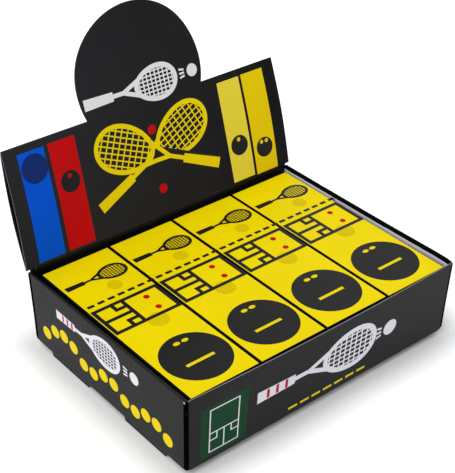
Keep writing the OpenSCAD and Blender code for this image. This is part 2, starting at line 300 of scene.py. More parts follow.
black_board = bpy.data.materials.new("printed_black_folding_board")
tree = empty_tree(black_board)
finish_board(tree, black_ink(tree), SATIN, SATIN_SPECULAR)
header_board = bpy.data.materials.new("printed_black_header_board_with_painted_sheen")
tree = empty_tree(header_board)
# Painted sheen: the header's black is lighter at its left end and fades to the plain ink towards
# the right.
painted_sheen = add_node(tree, "MapRange", [own_xyz(tree)[0], SHEEN_FROM_X * MM, SHEEN_TO_X * MM, 1, 0])
shade = add_node(tree, "Mix", [painted_sheen, black_ink(tree), linear(SHEEN_BLACK)], data_type="RGBA")
finish_board(tree, shade, SATIN, HEADER_SPECULAR)
back_board = plain_board("black_back_of_folding_board", BLACK_BACK, ROUGH, ROUGH_SPECULAR,
                         COARSE_RELIEF_MM)
cut_board = plain_board("cut_edge_of_folding_board", CUT_BOARD, ROUGH, ROUGH_SPECULAR,
                        COARSE_RELIEF_MM)
# Painted shade: the corner flaps, which make the seams at the tray's upright corners, are nearly
# black.
seam_shade_board = plain_board("seam_shade_of_folding_board", PAINTED_SEAM_SHADE, ROUGH, DULL_SPECULAR,
                            COARSE_RELIEF_MM)
print("Boards:", black_board.name, back_board.name, cut_board.name)

# %% [markdown]
# The tray's walls are thin board that is held only along the base and at the corners, so at the
# rim they spring out: the front one most at its middle, the side ones most near one end. The CAD
# boards are flat, so each gets a stand-in: a merged copy that is sliced into narrow strips, whose
# points are then moved by one formula. As all boards share the formula, they still meet.

# %% Sprung walls
LEFT_LEAN, RIGHT_LEAN, HELD_BACK = (1.0, 2.0), (0.4, 2.2), 1.6
FRONT_LEAN, FRONT_SWELL, RISE_POWER = 1.0, 1.8, 1.3
LEAN_FADES, HELD_SHARE = 2.6, 0.03
CORNER_MM, FULL_MM, STRIP_MM, SIDE_REACH, FRONT_REACH = 12.0, 2, 6.0, 2.2, 1.1
SHARP_FROM, MERGE_MM, CUT_WITHIN_MM = np.radians(25), 0.001, 0.0001


def smooth(t):
    """Smooth step from 0 to 1: 3 t^2 - 2 t^3."""
    t = np.clip(t, 0, 1)
    return t * t * (3 - 2 * t)


def sprung(points):
    """Points in millimetres moved outwards with height ^ 1.3. With b from 0 at the front to 1 at
    the back, the left wall leans out evenly more along b, the right one by exp(-2.6 b), less what
    its front corner holds back, exp(-b / 0.03). The front wall leans and swells by 1 - (x / half
    width)^2."""
    x, y, z = np.moveaxis(points, -1, 0)
    rise = np.clip(z / rim_z, 0, 1) ** RISE_POWER
    backward = (y - tray_front) / (tray_back - tray_front)
    left = LEFT_LEAN[0] + (LEFT_LEAN[1] - LEFT_LEAN[0]) * backward
    right = RIGHT_LEAN[0] + RIGHT_LEAN[1] * np.exp(-LEAN_FADES * backward)
    right = right - HELD_BACK * np.exp(-backward / HELD_SHARE)
    at_side = smooth((np.abs(x) - tray_right + CORNER_MM) / (CORNER_MM - FULL_MM))
    at_front = smooth((tray_front + 2 * CORNER_MM - y) / (2 * CORNER_MM - FULL_MM))
    out_x = np.where(x < 0, -left, right) * at_side * rise
    out_y = -(FRONT_LEAN + FRONT_SWELL * (1 - (x / tray_right) ** 2)) * at_front * rise
    return points + np.stack([out_x, out_y, np.zeros_like(z)], axis=-1)


def sprung_board(node, materials, pick):
    """Stand-in for a tray board: merged, sliced every few millimetres and moved by the formula. Its
    faces get the materials by the numbers that pick works out from their middles, in millimetres,
    and their normals."""
    work = bmesh.new()
    work.from_mesh(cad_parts[node].data)
    bmesh.ops.remove_doubles(work, verts=work.verts, dist=MERGE_MM * MM)
    low, high = box_mm(node)
    for axis in np.eye(3):
        edge, reach = (tray_right, FRONT_REACH) if axis[0] else (tray_back, SIDE_REACH)
        corner_cuts = [] if axis[2] else [reach - edge, 2 * reach - edge, edge - reach]
        strips = np.arange(low @ axis + STRIP_MM, high @ axis - 1, STRIP_MM)
        for place in [*corner_cuts, *strips]:
            geometry = [*work.verts, *work.edges, *work.faces]
            bmesh.ops.bisect_plane(work, geom=geometry, dist=CUT_WITHIN_MM * MM,
                                   plane_co=axis * place * MM, plane_no=axis)
    bmesh.ops.recalc_face_normals(work, faces=work.faces)
    mesh = bpy.data.meshes.new(f"{node}_board")
    work.to_mesh(mesh)
    work.free()
    for material in materials:
        mesh.materials.append(material)
    middles, normals = np.empty((2, 3 * len(mesh.polygons)))
    mesh.polygons.foreach_get("center", middles)
    mesh.polygons.foreach_get("normal", normals)
    numbers = pick(middles.reshape(-1, 3) / MM, normals.reshape(-1, 3)).astype(int)
    mesh.polygons.foreach_set("material_index", numbers)
    points = np.empty(3 * len(mesh.vertices))
    mesh.vertices.foreach_get("co", points)
    mesh.vertices.foreach_set("co", (sprung(points.reshape(-1, 3) / MM) * MM).ravel())
    mesh.shade_smooth()
    mesh.set_sharp_from_angle(angle=SHARP_FROM)
    board = bpy.data.objects.new(mesh.name, mesh)
    bpy.context.scene.collection.objects.link(board)
    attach(board, "tray")
    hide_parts(node)


# %% [markdown]
# A board is one mesh with both of its sides and its cut edges, so its material has to tell them
# apart. It does so by the direction in which the surface faces, in the object's own coordinates:
# what faces out or down is the print, what faces in is the back, and what faces neither way is a
# cut edge. At the tray's upright corners the board is dull and nearly black, a painted shade for
# the seam there, and at their top it is worn to pale nicks. The side walls' cut edges get the same
# painted shade.

# %% Tray boards
NICK_MM, NICKED_DEPTH, NICKS_AT_RIM, NICK_BAND = 2.2, 5.0, 0.24, (0.74, 0.80)
FACING_BAND = (0.2, 0.35)


def at_corner(middles, normals):
    """1 for a face within reach of an upright corner of the tray, else 0."""
    x, y = np.abs(middles[:, :2]).T
    return (x > tray_right - FRONT_REACH) & (y > tray_back - SIDE_REACH)


def nicked_shaded_corner(name):
    """Dull board, nearly black as a painted shade, with pale nicks where a pattern is high, more of
    them towards the rim.
    """
    material = bpy.data.materials.new(name)
    tree = empty_tree(material)
    high = add_node(tree, "MapRange", [
        own_xyz(tree)[2], (rim_z - NICKED_DEPTH) * MM, rim_z * MM, 0, NICKS_AT_RIM])
    worn = add_node(tree, "Math", [grains(tree, NICK_MM, FIBRE_DETAIL), high], operation="ADD")
    nick = add_node(tree, "MapRange", [worn, *NICK_BAND])
    shade = add_node(tree, "Mix", [nick, linear(PAINTED_SEAM_SHADE), linear(PALE_CUT)], data_type="RGBA")
    finish_board(tree, shade, ROUGH, DULL_SPECULAR)
    return material


def facing(tree, direction):
    """1 where the surface faces the direction, by the dot product of the two."""
    normal = add_node(tree, "TexCoord").outputs["Normal"]
    dot = add_node(tree, "VectorMath", [normal, direction], operation="DOT_PRODUCT")
    return add_node(tree, "MapRange", [dot, *FACING_BAND])


def sided_board(name, outward, cut):
    """Tray board: the print where it faces outward or down, the back where it faces inward, else a
    cut edge."""
    material = bpy.data.materials.new(name)
    tree = empty_tree(material)
    printed = add_node(tree, "Math", [facing(tree, outward), facing(tree, (0, 0, -1))],
                       operation="MAXIMUM")
    inward = facing(tree, tuple(-c for c in outward))
    unprinted = add_node(tree, "Mix", [inward, linear(cut), linear(BLACK_BACK)], data_type="RGBA")
    shade = add_node(tree, "Mix", [printed, unprinted, black_ink(tree)], data_type="RGBA")
    finish_board(tree, shade, SATIN, SATIN_SPECULAR)
    return material


def dress(node, material):
    """Puts one material into every slot of a CAD node, or of a new piece."""
    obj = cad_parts[node] if isinstance(node, str) else node
    obj.data.materials.clear()
    obj.data.materials.append(material)


# The side walls' cut edges are coloured with the painted seam shade.
WALLS = {"front_wall": ((0, -1, 0), RUBBED_CUT), "back_wall": ((0, 1, 0), CUT_BOARD),
         "left_wall": ((-1, 0, 0), PAINTED_SEAM_SHADE), "right_wall": ((1, 0, 0), PAINTED_SEAM_SHADE)}
nicked_seam_shade_board = nicked_shaded_corner("worn_corner_of_folding_board_in_painted_shade")
for node, (outward, cut) in WALLS.items():
    sprung_board(node, [sided_board(f"board_of_{node}", outward, cut), nicked_seam_shade_board],
                 at_corner)
for end in ("front", "back"):
    for side_name in ("left", "right"):
        sprung_board(f"{end}_{side_name}_corner_flap", [seam_shade_board, nicked_seam_shade_board],
                     at_corner)
for node, outward in (("tray_base", (0, 0, -1)), ("tuck_flap", (0, -1, 0))):
    dress(node, sided_board(f"board_of_{node}", outward, CUT_BOARD))
print("Tray boards have a print side, a back and cut edges")

# %% [markdown]
# The inner layer of a side wall rolls over the rim, so the board's coated side faces into the
# tray. The black print comes over with it and ends a few millimetres down. Below that line the
# white coating shows, greyer further down: a painted shade for the narrow, dark gap beside the
# cartons. The line is found from the height alone, with a slight waver, as a press leaves it. The
# other side of this layer is black, and so are the lock tabs at its foot. The left roll has the
# varnish's shine up to its inner side. On the right one the cartons wore it off down to the outer
# half. So what still shines has a material of its own.

# %% Roll-over liners
BLEED_MM, GREY_MM, WAVER_MM, WAVER_HIGH, LINE_SOFT = 2.5, 6.5, 9.0, 0.3, 0.1
RUBBED_FROM = {"left": 0.8, "right": -0.1}


def liner_board(name, inward):
    """Dull black board with a coated inner side below the bleed, greyed lower down as painted
    shade.
    """
    material = bpy.data.materials.new(name)
    tree = empty_tree(material)
    height = own_xyz(tree)[2]
    waver = add_node(tree, "Math", [grains(tree, WAVER_MM), WAVER_HIGH * MM], operation="MULTIPLY")
    level = add_node(tree, "Math", [height, waver], operation="SUBTRACT")
    bleed = (rim_z - BLEED_MM) * MM
    below = add_node(tree, "MapRange", [level, bleed - LINE_SOFT * MM, bleed, 1, 0])
    # Painted shade: the coating greys from the bleed line down to 6.5 mm below the rim.
    painted_shade = add_node(tree, "MapRange", [height, (rim_z - GREY_MM) * MM, bleed])
    coating = add_node(tree, "Mix", [painted_shade, linear(PAINTED_SHADE_COATING), linear(COATED_BOARD)],
                       data_type="RGBA")
    above_tabs = add_node(tree, "MapRange", [height, 0, LINE_SOFT * MM])
    coated = add_node(tree, "Math", [below, facing(tree, inward)], operation="MULTIPLY")
    coated = add_node(tree, "Math", [coated, above_tabs], operation="MULTIPLY")
    shade = add_node(tree, "Mix", [coated, linear(BLACK_PRINT), coating], data_type="RGBA")
    finish_board(tree, shade, ROLL_ROUGH, DULL_SPECULAR)
    return material


for side_name, side_x in (("left", 1), ("right", -1)):
    rolled = liner_board(f"{side_name}_rolled_board", (side_x, 0, 0))
    sprung_board(f"{side_name}_liner", [rolled, black_board],
                 lambda middles, normals: normals[:, 0] * side_x < RUBBED_FROM[side_name])

# %% [markdown]
# A carton is one printed board, yellow on its top and floor, and black on its sides. Its ends are
# black too, a painted shade for the narrow gap in front of the cartons. Its outside lies on the
# carton's own box, and all that is deeper than 0.3 mm, of the board's 0.4 mm, is bare inside. So
# the material measures how far a point lies inside that box: the largest of |x| - half width,
# |y| - half length and |z| - half height. The black comes round the folds a little, partly as print
# and partly as painted shade, so between the cartons there is a black line. On the last carton the
# print lies further to the right and less black comes round. What lies lower than the folds of the
# top, and higher than those of the floor, is black on all cartons.

# %% Carton boards
YELLOW_PRINT, BARE_INSIDE, INK_SPECULAR, BLACK_INK_SPECULAR = "#f8e000", "#c9c8c4", 0.05, 0.17
FOLD_MM, FOLD_SOFT_MM, BARE_FROM_MM, COATED_TO_MM, BORDER_SOFT_MM = 0.7, 0.1, 0.30, 0.24, 0.03
BLEED_AND_GAP_SHADE = {1: 0.45, 2: 0.45, 3: 0.45, 4: 0.12}
PRINT_SHIFT = {1: 0.0, 2: 0.0, 3: 0.0, 4: 0.30}


def inside_box(tree, middle, half):
    """Outputs |p - middle| - half for x, y and z of the point p: negative inside the box."""
    place = add_node(tree, "TexCoord").outputs["Object"]
    offset = add_node(tree, "VectorMath", [place, middle], operation="SUBTRACT")
    distance = add_node(tree, "VectorMath", [offset], operation="ABSOLUTE")
    past = add_node(tree, "VectorMath", [distance, half], operation="SUBTRACT")
    return add_node(tree, "SeparateXYZ", [past]).outputs


def carton_board(i):
    """Yellow and black board of carton i, bare grey inside, with painted shade in the black of its
    ends and folds.
    """
    low, high = carton_box[i]
    middle, half = (low + high) / 2 * MM, (high - low) / 2 * MM
    material = bpy.data.materials.new(f"printed_yellow_board_with_painted_shade_{i}")
    tree = empty_tree(material)
    parts = inside_box(tree, middle, half)
    nearest = add_node(tree, "Math", [parts[0], parts[1]], operation="MAXIMUM")
    nearest = add_node(tree, "Math", [nearest, parts[2]], operation="MAXIMUM")
    outside = add_node(tree, "MapRange", [nearest, -BARE_FROM_MM * MM, -COATED_TO_MM * MM])
    shift = np.array([PRINT_SHIFT[i] * MM, 0, 0])
    # Black over the folds, partly print and partly painted shade for the gaps between the cartons.
    panel = inside_box(tree, middle + shift, half - BLEED_AND_GAP_SHADE[i] * MM)
    past = add_node(tree, "Math", [panel[0], panel[1]], operation="MAXIMUM")
    border = add_node(tree, "MapRange", [past, -BORDER_SOFT_MM * MM, BORDER_SOFT_MM * MM])
    # Black sides and ends; on the ends it is painted shade for the gap in front of the cartons.
    below_fold = add_node(tree, "MapRange", [
        parts[2], -FOLD_MM * MM, (FOLD_SOFT_MM - FOLD_MM) * MM, 1, 0])
    black = add_node(tree, "Math", [border, below_fold], operation="MAXIMUM")
    printed = add_node(tree, "Mix", [black, linear(YELLOW_PRINT), linear(BLACK_PRINT)],
                       data_type="RGBA")
    shade = add_node(tree, "Mix", [outside, linear(BARE_INSIDE), printed], data_type="RGBA")
    finish_board(tree, shade, SATIN, INK_SPECULAR)
    return material


for i in CARTONS:
    material = carton_board(i)
    for board in ("sleeve", "front_closure", "back_closure", "front_dust_flaps", "back_dust_flaps"):
        dress(f"carton_{i}_{board}", material)
print("Cartons are", (carton_box[1][1] - carton_box[1][0]).round(2), "mm")

# %% [markdown]
# A squash ball is butyl rubber, moulded in two halves that are glued and then buffed. The buffing
# leaves an even, matte, fine-grained black with no shine.

# %% Ball rubber
RUBBER_BLACK, RUBBER_DUST, RUBBER_ROUGH = "#151517", "#222224", (0.62, 0.75)
GRAIN_MM, GRAIN_DETAIL, GRAIN_RELIEF_MM, GRAIN_BUMP = 0.8, 4.0, 0.05, 0.6
DUST_MM, DUST_BAND = 7.0, (0.4, 0.7)

rubber = bpy.data.materials.new("buffed_butyl_rubber")
tree = empty_tree(rubber)
grain = grains(tree, GRAIN_MM, GRAIN_DETAIL)
bump = add_node(tree, "Bump", {
    "Height": grain, "Strength": GRAIN_BUMP, "Distance": GRAIN_RELIEF_MM * MM})
dust = add_node(tree, "MapRange", [grains(tree, DUST_MM), *DUST_BAND])
dusty = add_node(tree, "Mix", [dust, linear(RUBBER_BLACK), linear(RUBBER_DUST)], data_type="RGBA")
roughness = add_node(tree, "MapRange", [grain, *MIDDLE_OF_NOISE, *RUBBER_ROUGH])
surface = add_node(tree, "BsdfPrincipled", {
    "Base Color": dusty, "Roughness": roughness, "Normal": bump})
add_node(tree, "OutputMaterial", [surface])
for i in CARTONS:
    for k in (1, 2, 3):
        for half in ("upper_half", "lower_half"):
            dress(f"carton_{i}_ball_{k}_{half}", rubber)

# %% [markdown]
# The two panels of the header are one board, folded at the top. Such a fold springs open, so both
# panels bulge away from each other at half height: the rear one all along, the front one mostly
# near its ends, because the disc holds its middle flat. Near the hinge the panels are a little
# wider than at the top. Both are made as thin surfaces halfway through the board, and Solidify
# gives them their thickness, with the board's back and cut edges.

# %% Header surfaces
REAR_BOW, FRONT_BOW, FLAT_MIDDLE, DISC_CURL = 2.4, 1.6, 34.0, 2.2
LEFT_SPREAD, RIGHT_SPREAD = (1.6, 0.1), (-0.1, -0.8)
BOARD_WELD_MM, INK_WELD_MM = 0.002, 0.00005
disc_middle = PANEL_L + DISC_RISE
root_half = np.sqrt((DISC_R + DISC_GAP) ** 2 - DISC_RISE ** 2)


def bulge(v):
    """Height of the bow up the panel: sin(pi v / length), and none outside the panel."""
    return np.sin(np.pi * np.clip(v / PANEL_L, 0, 1))


def front_bow(u, v):
    """How far the front panel stands forward: smooth rise from the flat middle to the ends, times
    the bulge, less the curl of the disc, (u / radius)^2, which starts smoothly at the crease."""
    curl = DISC_CURL * (u / DISC_R) ** 2 * smooth((v - PANEL_L) / DISC_R)
    to_end = smooth((np.abs(u) - FLAT_MIDDLE) / (header_half - FLAT_MIDDLE))
    return FRONT_BOW * to_end * bulge(v) - curl


def spread(u, v):
    """How far a point moves along the header: in proportion to u, by an amount that changes evenly
    from the hinge to the top crease and differs on the left and the right."""
    up = np.clip(v / PANEL_L, 0, 1)
    left, right = (low + (high - low) * up for low, high in (LEFT_SPREAD, RIGHT_SPREAD))
    return u / header_half * np.where(u < 0, left, right)


def lean(u, y, v):
    """Header frame to world, in metres: u spread, y and v turned by the tilt about the hinge."""
    world_y = hinge_y + y * np.cos(TILT) + v * np.sin(TILT)
    world_z = hinge_z - y * np.sin(TILT) + v * np.cos(TILT)
    return np.stack(np.broadcast_arrays(u + spread(u, v), world_y, world_z), axis=-1) * MM


def grid_faces(rows, cols, start=0, wrap=False):
    """Quads between neighbouring points of a grid that is numbered row by row."""
    index = np.arange(rows * cols).reshape(rows, cols) + start
    if wrap:
        index = np.hstack([index, index[:, :1]])
    return np.stack([index[:-1, :-1], index[:-1, 1:], index[1:, 1:], index[1:, :-1]],
                    axis=-1).reshape(-1, 4)


def make_mesh(name, points, faces, weld=BOARD_WELD_MM * MM):
    """Mesh object of the points and faces: doubles merged, faces turned outwards."""
    mesh = bpy.data.meshes.new(name)
    mesh.from_pydata(points.reshape(-1, 3).tolist(), [], faces.tolist())
    work = bmesh.new()
    work.from_mesh(mesh)
    bmesh.ops.remove_doubles(work, verts=work.verts, dist=weld)
    bmesh.ops.dissolve_degenerate(work, edges=work.edges, dist=weld)
    bmesh.ops.recalc_face_normals(work, faces=work.faces)
    work.to_mesh(mesh)
    work.free()
    obj = bpy.data.objects.new(name, mesh)
    bpy.context.scene.collection.objects.link(obj)
    return obj


def make_sheet(name, grids, normal, print_side):
    """Board of the given middle surfaces, welded where they meet, printed on the normal's side."""
    points, faces, count = [], [], 0
    for grid in grids:
        rows, cols = grid.shape[:2]
        faces.append(grid_faces(rows, cols, count))
        points.append(grid.reshape(-1, 3))
        count += rows * cols
    sheet = make_mesh(name, np.concatenate(points), np.concatenate(faces))
    towards = np.mean([polygon.normal for polygon in sheet.data.polygons], axis=0)
    if towards @ normal < 0:
        sheet.data.flip_normals()
    for material in (print_side, back_board, cut_board):
        sheet.data.materials.append(material)
    thick = sheet.modifiers.new("board", "SOLIDIFY")
    thick.thickness, thick.offset = board_t * MM, 0
    thick.use_even_offset = True
    thick.material_offset, thick.material_offset_rim = 1, 2
    return sheet


# %% Front panel
END_POINTS, MIDDLE_POINTS, HIGH_POINTS, BEAD_POINTS, DISC_POINTS = 25, 49, 41, 9, 61
middle_columns = np.linspace(-root_half, root_half, MIDDLE_POINTS)
columns = np.concatenate([np.linspace(-header_half, -root_half, END_POINTS),
                          middle_columns[1:-1],
                          np.linspace(root_half, header_half, END_POINTS)])
u, v = np.meshgrid(columns, np.linspace(board_t / 2 + CREASE_GAP, PANEL_L, HIGH_POINTS))
panel_grid = lean(u, -2 * CREASE_OFF - front_bow(u, v), v)
beads = []
for half in (columns[:END_POINTS], columns[-END_POINTS:]):
    u, turn = np.meshgrid(half, np.linspace(0, np.pi, BEAD_POINTS))
    beads.append(lean(u, -CREASE_OFF - CREASE_OFF * np.cos(turn),
                      PANEL_L + CREASE_OFF * np.sin(turn)))
low_turn = np.arcsin(DISC_RISE / DISC_R)
t, turn = np.meshgrid(middle_columns / root_half, np.linspace(-low_turn, np.pi / 2, DISC_POINTS))
disc_u = DISC_R * np.cos(turn) * t
disc_u[0] = middle_columns
disc_v = disc_middle + DISC_R * np.sin(turn)
disc_v[0] = PANEL_L
disc_grid = lean(disc_u, -2 * CREASE_OFF - front_bow(disc_u, disc_v), disc_v)
front_of_header = np.array([0, -np.cos(TILT), np.sin(TILT)])
header_sheet = make_sheet("header_front_board", [panel_grid, *beads, disc_grid], front_of_header,
                          header_board)
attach(header_sheet, "header")
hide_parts("header_panel")

# %% Rear panel with its round hole
HOLE_POINTS, RINGS = 181, 15
hole_r, hole_v, top_v = DISC_R + DISC_GAP, PANEL_L - DISC_RISE, PANEL_L - BEAD_R - CREASE_GAP
first = np.arcsin((top_v - hole_v) / hole_r)
turn = np.linspace(first, -np.pi - first, HOLE_POINTS)
breaks = [-np.pi - first, -0.75 * np.pi, -0.25 * np.pi, first]
edge_u = np.interp(turn, breaks, [-header_half, -header_half, header_half, header_half])
edge_v = np.interp(turn, breaks, [top_v, -board_t / 2, -board_t / 2, top_v])
s = np.linspace(0, 1, RINGS)[:, None]
u = (1 - s) * hole_r * np.cos(turn) + s * edge_u
v = (1 - s) * (hole_v + hole_r * np.sin(turn)) + s * edge_v
rear_sheet = make_sheet("header_rear_board", [lean(u, REAR_BOW * bulge(v), v)], -front_of_header,
                        black_board)
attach(rear_sheet, "lid")
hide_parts("lid_panel")
print("Header boards:", len(header_sheet.data.polygons), "and", len(rear_sheet.data.polygons),
      "faces")

# %% [markdown]
# Printed marks are films of ink, so each is a thin closed slab that follows the board. A mark is a
# grid of points in the flat (u, v) plane of a face, in millimetres: a bar, a disc in polar form,
# or a stroke of some width along a path. A face function then carries it onto the board, also onto
# the bowed header. Films that overlap lie on separate levels, as inks that are printed in turn.

# %% Marks in the plane
FILM, LEVEL, STEP, STEPS = 0.02, 0.012, 0.0004, 25
CELL_MM, ROUND_POINTS = 3.0, 48
EGG, COURT_WIDE, COURT_LONG = 0.12, 6.4, 9.75


def bar(u0, u1, v0, v1):
    """Rectangle as a grid with cells of about 3 mm."""
    cols, rows = (max(2, int(np.ceil(abs(d) / CELL_MM)) + 1) for d in (u1 - u0, v1 - v0))
    return (*np.meshgrid(np.linspace(u0, u1, cols), np.linspace(v0, v1, rows)), "open")


def disc(middle_u, middle_v, r, stretch=1.0):
    """Filled ellipse in polar form: radius times (stretch cos a, sin a) round its middle."""
    turn = np.linspace(0, 2 * np.pi, ROUND_POINTS + 1)[:-1]
    a, radius = np.meshgrid(turn, np.linspace(0, r, 5))
    return middle_u + stretch * radius * np.cos(a), middle_v + radius * np.sin(a), "disc"


def stroke(path, width, closed=False):
    """Band of the width along a path of points: each moved to both sides, square to the path."""
    path = np.asarray(path, float)
    ahead = np.roll(path, -1, 0) - np.roll(path, 1, 0) if closed else np.gradient(path, axis=0)
    across = np.stack([-ahead[:, 1], ahead[:, 0]], 1) / np.linalg.norm(ahead, axis=1)[:, None]
    sides = np.linspace(-0.5, 0.5, 3)[:, None, None] * across * np.reshape(width, (-1, 1)) + path
    return sides[..., 0], sides[..., 1], "ring" if closed else "open"


def line(start, end, width, points=12):
    """Straight stroke."""
    return stroke(np.linspace(start, end, points), width)


def turned(marks, degrees, shift):
    """Marks turned about the plane's origin, then shifted."""
    c, s = np.cos(np.radians(degrees)), np.sin(np.radians(degrees))
    return [(c * u - s * v + shift[0], s * u + c * v + shift[1], kind) for u, v, kind in marks]


def racket(length, bold=1.0):
    """Squash racket that lies along u, with its grip's end at the origin. The head is an egg:
    u = a cos t, v = b sin t (1 + 0.12 cos t). The strings end at it or under its rim."""
    a, b, grip, wide = 0.215 * length, 0.145 * length, 0.30 * length, bold * 0.024 * length
    head = length - a - wide / 2
    t = np.linspace(0, 2 * np.pi, 73)[:-1]
    frame_path = np.stack([head + a * np.cos(t), b * np.sin(t) * (1 + EGG * np.cos(t))], 1)
    marks = [stroke(frame_path, wide, closed=True)]
    thread = 0.3 * wide
    for x in np.arange(-0.84, 0.85, 0.21):
        reach = b * np.sqrt(1 - x * x) * (1 + EGG * x)
        marks.append(line((head + a * x, -reach), (head + a * x, reach), thread))
    for y in np.arange(-0.75, 0.76, 0.25):
        reach = a * np.sqrt(1 - y * y)
        marks.append(line((head - reach, b * y), (head + reach, b * y), thread))
    fork = head - a
    for sign in (-1, 1):
        shoulder = (head - 0.80 * a, sign * 0.52 * b)
        marks.append(line((fork - 0.14 * length, 0), shoulder, 0.9 * wide))
    marks.append(line((grip - 0.01 * length, 0), (fork - 0.12 * length, 0), 0.9 * wide))
    marks.append(line((0, 0), (grip, 0), np.linspace(2.3, 1.9, 12) * wide))
    return marks


def bounces(start, floor_v, spans, heights, width, dash=3.2, gap=1.9):
    """Dashed path of a ball that bounces along u: each hop is the parabola 4 h s (1 - s), cut into
    dashes."""
    marks = []
    drawn, inset = dash / (dash + gap), 0.5 * gap / (dash + gap)
    for span, high in zip(spans, heights):
        s = np.linspace(0, 1, 200)
        path = np.stack([start + span * s, floor_v + 4 * high * s * (1 - s)], 1)
        run = np.concatenate([[0], np.cumsum(np.linalg.norm(np.diff(path, axis=0), axis=1))])
        count = max(1, int(round(run[-1] / (dash + gap))))
        for k in range(count):
            along = np.linspace(*(np.array([k, k + drawn]) + inset) * run[-1] / count, 6)
            dash_path = [np.interp(along, run, path[:, 0]), np.interp(along, run, path[:, 1])]
            marks.append(stroke(np.stack(dash_path, 1), width))
        start += span
    return marks


def ball_track(start, floor_v, spans, heights, radii):
    """Discs at equal times along the same hops, as a flashing lamp would catch a ball:
    s = (k + 0.5) / count."""
    marks = []
    for span, high, r in zip(spans, heights, radii):
        count = int(span / (2.2 * r))
        for s in (np.arange(count) + 0.5) / count:
            marks.append(disc(start + span * s, floor_v + 4 * high * s * (1 - s), r))
        start += span
    return marks


def flight(u, v, spread):
    """Three short strokes that trail a flying ball, the outer two leaning in."""
    return [line((u - 3.4, v + d), (u, v + 0.7 * d), 0.26 * spread + 0.5, 3)
            for d in (-spread, 0, spread)]


def court(u0, u1, v0, v1, width):
    """Plan of a squash court, in its true proportions of 6.4 by 9.75 m, laid along u from back to
    front: the walls, the short line at 4.31 m, the half-court line and two boxes of 1.6 m."""
    def spot(x, y):
        return u0 + (u1 - u0) * y / COURT_LONG, v0 + (v1 - v0) * x / COURT_WIDE
    lines = [((0, 0), (0, COURT_LONG)), ((COURT_WIDE, 0), (COURT_WIDE, COURT_LONG)),
             ((0, 0), (COURT_WIDE, 0)), ((0, COURT_LONG), (COURT_WIDE, COURT_LONG)),
             ((0, 4.31), (COURT_WIDE, 4.31)), ((3.2, 0), (3.2, 4.31)),
             ((1.6, 2.71), (1.6, 4.31)), ((0, 2.71), (1.6, 2.71)),
             ((4.8, 2.71), (4.8, 4.31)), ((4.8, 2.71), (COURT_WIDE, 2.71))]
    marks = []
    for start, end in lines:
        start, end = np.array(spot(*start)), np.array(spot(*end))
        reach = 0.5 * width * (end - start) / np.linalg.norm(end - start)
        marks.append(line(start - reach, end + reach, width))
    return marks


# %% Ink films on a face
def flat_face(corner, across, upward):
    """Face function of a plane: corner + u across + v upward + h (across x upward)."""
    across, upward = np.array(across, float), np.array(upward, float)
    outward = np.cross(across, upward)

    def place(u, v, h):
        return (np.array(corner) + u[..., None] * across + v[..., None] * upward + h * outward) * MM
    return place


def header_face(u, v, h):
    """Face function of the header's bowed front."""
    return lean(u, -2 * CREASE_OFF - board_t / 2 - front_bow(u, v) - h, v)


def film(mark, place, top):
    """Closed slab under a mark: the grid at the film's top, the same grid at the board, and walls
    between."""
    u, v, kind = mark
    rows, cols = u.shape
    wrap = kind != "open"
    points = np.concatenate([place(u, v, top).reshape(-1, 3),
                             place(u, v, top - FILM).reshape(-1, 3)])
    index = np.arange(rows * cols).reshape(rows, cols)
    if wrap:
        index = np.hstack([index, index[:, :1]])
    borders = [index[-1]] if kind == "disc" else [index[-1], index[0]]
    if not wrap:
        borders += [index[:, 0], index[:, -1]]
    walls = [np.stack([b[:-1], b[1:], b[1:] + rows * cols, b[:-1] + rows * cols], 1)
             for b in borders]
    skin = grid_faces(rows, cols, 0, wrap)
    return points, np.concatenate([skin, skin + rows * cols, *walls])


def print_marks(name, body, ink, layers):
    """One piece of ink on a body. Each layer is (marks, face function, level). Films of one level
    get tiny steps in height, so that overlaps of one colour never share a plane."""
    points, faces, count = [], [], 0
    for marks, place, level in layers:
        for k, mark in enumerate(marks):
            top = FILM + LEVEL * level + STEP * (k % STEPS)
            p, f = film(mark, place, top)
            points.append(p)
            faces.append(f + count)
            count += len(p)
    piece = make_mesh(name, np.concatenate(points), np.concatenate(faces), weld=INK_WELD_MM * MM)
    dress(piece, ink)
    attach(piece, body)
    return piece


# %% Inks
INKS = {name: plain_board(f"offset_ink_{name}", colour, SATIN, INK_SPECULAR) for name, colour in {
    "white": "#ececf4", "yellow": "#f4da00", "pale_yellow": "#f1dd40", "gold_yellow": "#f2d400",
    "blue": "#0056dc", "dark_blue": "#142c70", "red": "#c50c10", "green": "#15442a",
    "soft_yellow": "#e2c800"}.items()}
INKS["black"] = plain_board("offset_ink_black", "#0f0f11", SATIN, BLACK_INK_SPECULAR)
print("Inks:", ", ".join(INKS))

# %% [markdown]
# The header's front carries four coloured stripes, each with a ball printed on it, and between
# them two crossed rackets. Where the rackets cross, the upper one has a black margin, printed
# between the two, so that it reads as lying on top.

# %% Header print
STRIPES = {"blue": (-83.4, -67.4, 1.3, 60.9), "red": (-64.8, -48.3, 1.3, 61.1),
           "pale_yellow": (49.0, 64.9, 1.0, 61.2), "gold_yellow": (66.7, 82.8, 0.5, 61.4)}
for name, (u0, u1, v0, v1) in STRIPES.items():
    print_marks(f"header_{name}_stripe", "header", INKS[name],
                [([bar(u0, u1, v0, v1)], header_face, 0)])
print_marks("header_dark_blue_ball", "header", INKS["dark_blue"],
            [([disc(-75.0, 51.2, 7.9)], header_face, 1)])
ball_places = [(-56.0, 37.9), (57.1, 21.9), (74.8, 15.3)]
print_marks("header_black_balls", "header", INKS["black"],
            [([disc(*p, 6) for p in ball_places], header_face, 1)])
RACKET_TURN, GRIP_U, GRIP_V, MARGIN_LENGTH, MARGIN_WIDTH = 24, 41, 16.5, 46, 8.5
lower_racket = turned(racket(86, 1.3), RACKET_TURN, (-GRIP_U, GRIP_V))
